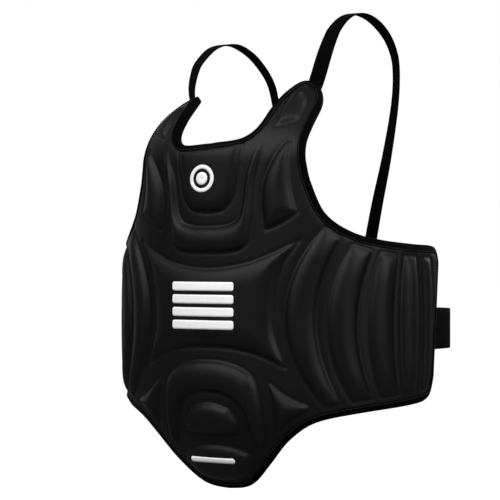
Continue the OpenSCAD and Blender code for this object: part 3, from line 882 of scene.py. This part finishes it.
def tape_paths(line):
    """Middle surface of a folded tape along an edge line, as [station][fold] points."""
    steps = shell_steps(line)
    outer, inner = [], []
    for out in FACE_STATIONS:
        s, z = (line + out * steps).T
        outer.append((s, z, sampled(RELIEF, s, z) + TAPE_T / 2 + TAPE_OVER_GAP))
        inner.append((s, z, np.full(len(s), -TAPE_T / 2 - TAPE_UNDER_GAP)))
    edge_high, edge_low = outer[-1][2], inner[-1][2]
    fold = []
    for a in np.radians(FOLD_ANGLES):
        out = FOLD_BULGE * math.cos(a)
        n = (edge_high + edge_low) / 2 + (edge_high - edge_low) / 2 * math.sin(a)
        fold.append((*(line + out * steps).T, n))
    path = outer + fold + inner[::-1]
    return np.stack([on_shell(*column) for column in path], 1)


def tape_rings(line):
    """Rings round a tape's section, and its middle surface with the way up there."""
    middle = tape_paths(line)
    along = unit(np.gradient(middle, axis=0))
    across = unit(np.gradient(middle, axis=1))
    up = unit(np.cross(along, across))
    half = TAPE_T / 2
    rounded = np.full(middle.shape[1], half)
    rounded[[0, -1]] = TAPE_EDGE * half
    outer = middle + up * rounded[None, :, None]
    inner = middle - up * rounded[None, :, None]
    return np.concatenate([outer, inner[:, ::-1]], axis=1), middle, up


def make_tape(name, line, look, node):
    """One folded tape, and the runs for the stitches along both of its edges."""
    rings, middle, up = tape_rings(line)
    out = outward(line[:, 0], sunk(line[:, 0], line[:, 1]))
    facing = np.einsum("ij,ij->i", up[:, 1], out).mean()
    if facing > 0:
        rings = rings[:, ::-1]
    tape = swept(name, rings, look)
    finish_piece(tape, stands_for=[node])
    lift = TAPE_T / 2 - SEAM_SINK
    sign = 1 if facing > 0 else -1
    runs = []
    for column in (1, -2):
        normals = sign * up[:, column]
        runs.append((middle[:, column] + lift * normals, normals))
    return runs


def make_binding(look, stitch_look):
    """Four folded tapes round the shell's edge, and the seam that holds them."""
    # Points of the top and hem lines that the wing's tape takes over, at its corners
    corner = 10
    top_end, hem_end = len(TOP_LINE) - corner, len(HEM_LINE) - corner
    top = evenly(both_sides(TOP_LINE[: top_end + 1]), TAPE_STEP)
    hem = evenly(both_sides(HEM_LINE[: hem_end + 1]), TAPE_STEP)
    wing_end = [HEM_LINE[hem_end:], END_LINE[1:-1], TOP_LINE[top_end:][::-1]]
    wing = evenly(np.vstack(wing_end), TAPE_STEP)
    runs = make_tape("top_tape", top[::-1], look, "top_binding")
    runs += make_tape("hem_tape", hem, look, "hem_binding")
    runs += make_tape("left_wing_tape", wing, look, "left_wing_binding")
    runs += make_tape("right_wing_tape", mirrored(wing), look, "right_wing_binding")
    finish_piece(stitches("binding_seam", runs, stitch_look))


# ---------------------------------------------------------------- prints

# All prints lie a little to the wearer's right of the centre line
PRINT_SHIFT = np.array([-4, 0])
# Levels of a print's face and back above the cover
PRINT_LIFTS = (0.32, 0.04)
PRINT_STEP = 2.0
BAR_CORNER_R = 3.0
# Emblem: height of its centre, and the inner and outer radii of its ring and its disc
EMBLEM_Z, EMBLEM_RINGS = 383, ((12.2, 17), (0.05, 8))
# Bars of the centre mark: half width, height, and the levels of their lower edges
CENTRE_HALF, CENTRE_BAR_H, CENTRE_LOWS = 44, 11, (198, 213.7, 229.3, 245)
# Bar on the tongue: half width, and its lower and upper edge
TONGUE_BAR = (32, 40, 46)


def print_bar(s_half, low, high):
    """Bar with rounded corners, as a grid of (s, z)."""
    radius = min((high - low) / 2, BAR_CORNER_R)
    rounding = radius * (1 - np.sin(np.radians([15, 30, 45, 60, 75, 90])))
    columns = np.unique(
        np.concatenate([
            np.arange(-s_half + radius, s_half - radius + 1, PRINT_STEP),
            [s_half - radius],
            s_half - rounding,
            -s_half + rounding,
        ])
    )
    lines = np.linspace(0, 1, max(3, int((high - low) / PRINT_STEP) + 1))
    beyond = np.clip(np.abs(columns) - (s_half - radius), 0, radius)
    cut = radius - np.sqrt(radius**2 - beyond**2)
    s = np.repeat(columns[:, None], len(lines), 1)
    z = (low + cut)[:, None] + lines[None] * ((high - low) - 2 * cut)[:, None]
    return np.stack([s, z], -1)


def draped(name, grids, look):
    """Thin print laid on the cover, from grids of (s, z)."""
    points, faces = [], []
    for grid in grids:
        grid = grid + PRINT_SHIFT
        level = sampled(RELIEF, grid[..., 0], grid[..., 1])
        for lift in PRINT_LIFTS:
            points.append(on_shell(grid[..., 0], grid[..., 1], level + lift).reshape(-1, 3))
        base = sum(len(p) for p in points[:-2])
        quads = grid_quads(grid.shape[:2]).reshape(-1, 4)
        faces.append(closed_faces(quads, open_edges(quads), level.size) + base)
    return mesh_piece(name, np.vstack(points), np.vstack(faces), look)


def ring_grid(inner, outer, z):
    """Flat ring as a grid of (s, z), cut open at its foot."""
    angles = np.radians(np.linspace(-90, 270, 61))
    radii = np.linspace(inner, outer, 4)
    s = radii[None] * np.cos(angles)[:, None]
    h = z + radii[None] * np.sin(angles)[:, None]
    return np.stack([s, h], -1)[:, ::-1]


def make_prints(look):
    """Generic marks in the places of the printed ones: a roundel, four bars and one bar."""
    rings = [ring_grid(inner, outer, EMBLEM_Z) for inner, outer in EMBLEM_RINGS]
    emblem = draped("chest_mark", rings, look)
    finish_piece(emblem, stands_for=["chest_emblem"])
    bars = [print_bar(CENTRE_HALF, low, low + CENTRE_BAR_H) for low in CENTRE_LOWS]
    block = draped("centre_mark", bars, look)
    finish_piece(block, stands_for=["centre_print"])
    stripe = draped("tongue_mark", [print_bar(*TONGUE_BAR)], look)
    finish_piece(stripe, stands_for=["tongue_print"])


# ---------------------------------------------------------------- straps

# Where each strap leaves its tab, as (s, z)
SEAT = {"left": (80, 502), "right": (-92, 498)}
# How far each arch rises above that, and its route as [x, y, share of the rise, twist in
# degrees], drawn on the left side as the part's source has it
STRAP_RISE = {"left": 95, "right": 85}
STRAP_OVER = {
    "left": [
        (88.5, 112.5, 0.35, 27), (91, 126, 0.66, 14), (94, 149, 0.9, 4), (96, 175, 1, -2),
        (98, 204, 0.98, -8), (100, 232, 0.85, -18), (101, 255, 0.64, -28), (99, 271, 0.35, -32),
    ],
    "right": [
        (95.5, 84, 0.22, 30), (95, 93, 0.52, 22), (94, 107, 0.72, 14), (93.5, 134, 0.92, 9),
        (95.5, 174, 1, 9), (98, 207, 0.95, 14), (98, 238, 0.79, 20), (95.5, 266, 0.48, 25),
    ],
}
# Then down the back as [x, y, z], with each strap's twist at those points
STRAP_DOWN = [
    (93, 278, 485), (78, 282, 416), (60, 288, 356), (44, 295, 300), (31, 302, 250),
    (26, 304.5, 230),
]
DOWN_TWIST = {"left": (-30, -20, -10, -4, 0, 0), "right": (25, 18, 10, 4, 0, 0)}
# The sewn ends: depths below the tab's top in front, and the place and heights on the belt
FRONT_END_DEPTHS = (46, 35, 24, 13, 4)
BACK_END_X, BACK_END_Y = 26, 154.2
BACK_END_Z = (222, 208, 194, 184, 175)
# Point of the arch where its front and back halves meet, and the steps between points
PEAK = 4
LINE_STEPS = 8
BACK_BEND = ((26, 154.5, 228), (38, 149, 276))
# Rows of the line under the seams in front and behind, and the margin beside a seam
SEAM_ROWS = (slice(4, 28), slice(-30, -6))
STRAP_SEAM_MARGIN = 3
# Stretch of the line where the strap leaves its tab, and the passes that ease the fold there
FOLD_ROWS, FOLD_PASSES = (34, 58), 40


def strap_line(side):
    """Stations [x, y, z, twist in degrees] of a strap as drawn on the left side."""
    tab_s, tab_top = SEAT[side]

    def on_tab(z):
        x, y, h = on_shell(tab_s, z, BAND_N)
        face = outward(np.float64(tab_s), sunk(np.float64(tab_s), z))
        return abs(x), y, h, math.degrees(math.atan2(abs(face[0]), -face[1]))

    front = [on_tab(tab_top - d) for d in FRONT_END_DEPTHS]
    start = on_tab(tab_top)
    rise = STRAP_RISE[side]
    over = [(x, y - TORSO_DEPTH, start[2] + share * rise, t) for x, y, share, t in STRAP_OVER[side]]
    down = [
        (x, y - TORSO_DEPTH, z, twist)
        for (x, y, z), twist in zip(STRAP_DOWN, DOWN_TWIST[side])
    ]
    back = [(BACK_END_X, BACK_END_Y, z, 0) for z in BACK_END_Z]
    line = curve(front + [start] + over + down + back, LINE_STEPS)
    first, last = FOLD_ROWS
    for _ in range(FOLD_PASSES):
        between = (line[first - 1:last - 1] + line[first + 1:last + 1]) / 2
        line[first:last] += 0.5 * (between - line[first:last])
    return line


def make_strap(side, look, stitch_look):
    """One strap in two halves that meet at its peak, and the stitching of its ends."""
    line = strap_line(side)
    tab_end = (len(FRONT_END_DEPTHS) - 1) * LINE_STEPS
    peak = tab_end + (1 + PEAK) * LINE_STEPS
    hand = 1 if side == "left" else -1
    mirror = np.array([hand, 1, 1])
    centres = line[:, :3]
    ahead = unit(np.gradient(centres, axis=0))
    twist = np.radians(line[:, 3])
    wide = np.stack([np.cos(twist), np.sin(twist), 0 * twist], -1)
    asides = unit(wide - (wide * ahead).sum(1)[:, None] * ahead)
    thicks = np.cross(ahead, asides)
    halves = {
        "front": (
            slice(0, peak + 1), centres[tab_end + 2], centres[tab_end + 3 * LINE_STEPS],
            (f"{side}_strap_front_end", f"{side}_strap"),
        ),
        "back": (slice(peak, None), *BACK_BEND, (f"{side}_strap_back_end",)),
    }
    for half, (part, start, end, nodes) in halves.items():
        piece = band(
            f"{side}_strap_{half}", centres[part] * mirror, asides[part] * mirror * hand,
            thicks[part] * mirror, STRAP_W, BAND_T, look,
        )
        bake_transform(piece)
        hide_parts(*nodes)
    runs = []
    for rows in SEAM_ROWS:
        behind = thicks[rows] * mirror
        if behind[:, 1].mean() < 0:
            behind = -behind
        width = STRAP_W - 2 * STRAP_SEAM_MARGIN
        runs += box_runs(centres[rows] * mirror, asides[rows] * mirror, behind, width, BAND_T / 2)
    seams = stitches(f"{side}_strap_seams", runs, stitch_look, pitch=2.6, length=1.9, radius=0.28)
    finish_piece(seams)


def box_runs(centres, asides, normals, width, lift):
    """Runs of a sewn box with a cross in it, on one face of a band."""

    def run(fractions, rows):
        spots = centres[rows] + (np.asarray(fractions) * width)[:, None] * asides[rows]
        return spots + lift * normals[rows], normals[rows]

    every = np.arange(len(centres))
    count = len(every)
    edge = np.full(count, 0.5)
    ends = np.linspace(-0.5, 0.5, 8)
    first, last = np.zeros(8, int), np.full(8, count - 1)
    return [
        run(edge, every), run(-edge, every), run(ends, first), run(ends, last),
        run(np.linspace(-0.5, 0.5, count), every), run(np.linspace(0.5, -0.5, count), every),
    ]


# ---------------------------------------------------------------- belt

# Left half of the belt's plan, from the wing's end to the middle of the back, and where it is
# sewn inside the wing
BELT_POINTS = [(199, 188), (198.5, 215), (192, 248), (165, 280), (108, 296.5), (50, 301), (0, 302)]
BELT_TAIL_S = [262, 276, 290, 304, 316]
# Plan of the ring's two bars, drawn on the left, and the radius at which webbing wraps them
RING_FRONT = np.array([199.0, 55.0])
RING_BACK = np.array([199.0, 73.0])
WRAP_R = 3.5
# How far behind the ring's back bar the belt starts to turn, and its folded end starts
TURN_START, FLAP_START = 5, 0.4
# Steps of the plan between points, where the free run starts, and how long its end is
CURVE_STEPS, RUN_START, END_STEPS = 4, 7, 9
# Distances of the loops, the hooks and the folded end outside the belt's middle
LOOP_SHIFT, HOOK_SHIFT, END_SHIFT = 1.8, 3.1, 4.9
PATCH_H, PATCH_T = 42, 1.0
# Where the ring's keeper is sewn inside the wing, its height, and its back layer's depth
KEEPER_S = (284, 300, 314)
KEEPER_H = BELT_H - 4
KEEPER_BACK_N = BAND_N - 2.3
# Seams on the left wing and on the right: first and last place, depth, and side
BELT_SEAMS = ((266, 304, BAND_N, 1), (286, 306, KEEPER_BACK_N, -1))
BELT_SEAM_MARGIN = 6


def sewn_plan(places, n):
    """Plan of a band sewn inside the wing, at the given places round the torso."""
    return on_shell(np.array(places, float), BELT_Z, n)[:, :2]


def wrapped(centre, start, stop, steps=16):
    """Arc of webbing round a bar of the ring, between two angles in degrees."""
    a = np.radians(np.linspace(start, stop, steps + 1))
    return centre + WRAP_R * np.stack([np.cos(a), np.sin(a)], -1)


def shifted(line, distance):
    """A plan line moved to its right."""
    ahead = unit(np.gradient(line, axis=0))
    return line + distance * np.stack([ahead[:, 1], -ahead[:, 0]], -1)


def upright(name, line, height, thickness, look, spacing=3.0):
    """Band that stands on edge along a plan line."""
    line = evenly(line, spacing)
    count = len(line)
    centres = np.column_stack([line, np.full(count, BELT_Z)])
    ahead = unit(np.gradient(line, axis=0))
    asides = np.tile([0.0, 0.0, 1.0], (count, 1))
    thicks = np.stack([ahead[:, 1], -ahead[:, 0], np.zeros(count)], -1)
    return band(name, centres, asides, thicks, height, thickness, look)


def make_belt(looks):
    """Waist belt: sewn inside the left wing, round the back, through the ring and back."""
    plan = curve([(x, y - TORSO_DEPTH) for x, y in BELT_POINTS], CURVE_STEPS)
    run = plan[RUN_START:]
    approach = RING_BACK + [-WRAP_R, TURN_START]
    turned = mirrored(np.vstack([approach, wrapped(RING_BACK, 180, 360)]))[::-1]
    body = np.vstack([sewn_plan(BELT_TAIL_S, BAND_N), plan, mirrored(run)[1:]])
    line = np.vstack([curve(body, 3), turned])
    belt = upright("waist_belt", line, BELT_H, BAND_T, looks["belt"], 2.0)
    finish_piece(belt, stands_for=["belt"])

    outer = run[: END_STEPS + 1]
    patch = run[1: END_STEPS + 1]
    start = RING_BACK + [WRAP_R, FLAP_START]
    flap_line = mirrored(curve(np.vstack([start, shifted(outer, END_SHIFT)]), 4))
    flap = upright("belt_free_end", flap_line, BELT_H, BAND_T, looks["belt"])
    hook_line = mirrored(curve(shifted(patch, HOOK_SHIFT), 3))
    hooks = upright("hook_tape", hook_line, PATCH_H, PATCH_T, looks["hook"])
    for piece, slot, node in ((flap, "belt", "belt_end"), (hooks, "hook", "hook_patch")):
        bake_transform(piece)
        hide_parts(node)
    loop_line = mirrored(curve(shifted(patch, LOOP_SHIFT), 3))
    loops = upright("loop_tape", loop_line, PATCH_H, PATCH_T, looks["loop"])
    finish_piece(loops, stands_for=["loop_patch"])

    keeper_line = mirrored(
        np.vstack([
            curve(sewn_plan(KEEPER_S, BAND_N), 4)[:-1],
            wrapped(RING_FRONT, 0, 180),
            curve(sewn_plan(KEEPER_S, KEEPER_BACK_N)[::-1], 4)[1:],
        ])
    )
    keeper = upright("ring_keeper_web", keeper_line, KEEPER_H, BAND_T, looks["belt"], 2.0)
    finish_piece(keeper, stands_for=["ring_keeper"])

    runs = []
    for first, last, n, side in BELT_SEAMS:
        places = np.linspace(first, last, 12)
        spots = on_shell(places, BELT_Z, n) * [side, 1, 1]
        inward = -outward(places, BELT_Z + 0 * places) * [side, 1, 1]
        up = np.tile([0.0, 0.0, 1.0], (len(places), 1))
        runs += box_runs(spots, up, inward, BELT_H - 2 * BELT_SEAM_MARGIN, BAND_T / 2)
    seams = stitches("belt_seams", runs, looks["thread"], pitch=3.0, length=2.2, radius=0.32)
    finish_piece(seams)


# ---------------------------------------------------------------- the whole object

make_camera()
make_studio()
make_floor()

LOOKS = {
    "cover": leather(),
    "tape": woven("binding_tape", 0.9, (0.0006, 0.0006, 0.0007), (0.003, 0.003, 0.0033)),
    "strap": elastic("strap_elastic"),
    "belt": elastic("belt_elastic", 1.9),
    "lining": knitted_mesh(),
    "foam": foam(),
    "ink": ink(),
    "ring": moulded_plastic(),
    "loop": pile("loop_pile", 900, 0.5),
    "hook": pile("hook_pile", 700, 0.6),
    "thread": thread(),
}

make_cover(LOOKS["cover"])
make_foam(LOOKS["foam"])
make_lining(LOOKS["lining"])
make_binding(LOOKS["tape"], LOOKS["thread"])
make_prints(LOOKS["ink"])
for side in ("left", "right"):
    make_strap(side, LOOKS["strap"], LOOKS["thread"])
make_belt(LOOKS)

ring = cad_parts["belt_ring"]
ring.data.materials.clear()
ring.data.materials.append(LOOKS["ring"])
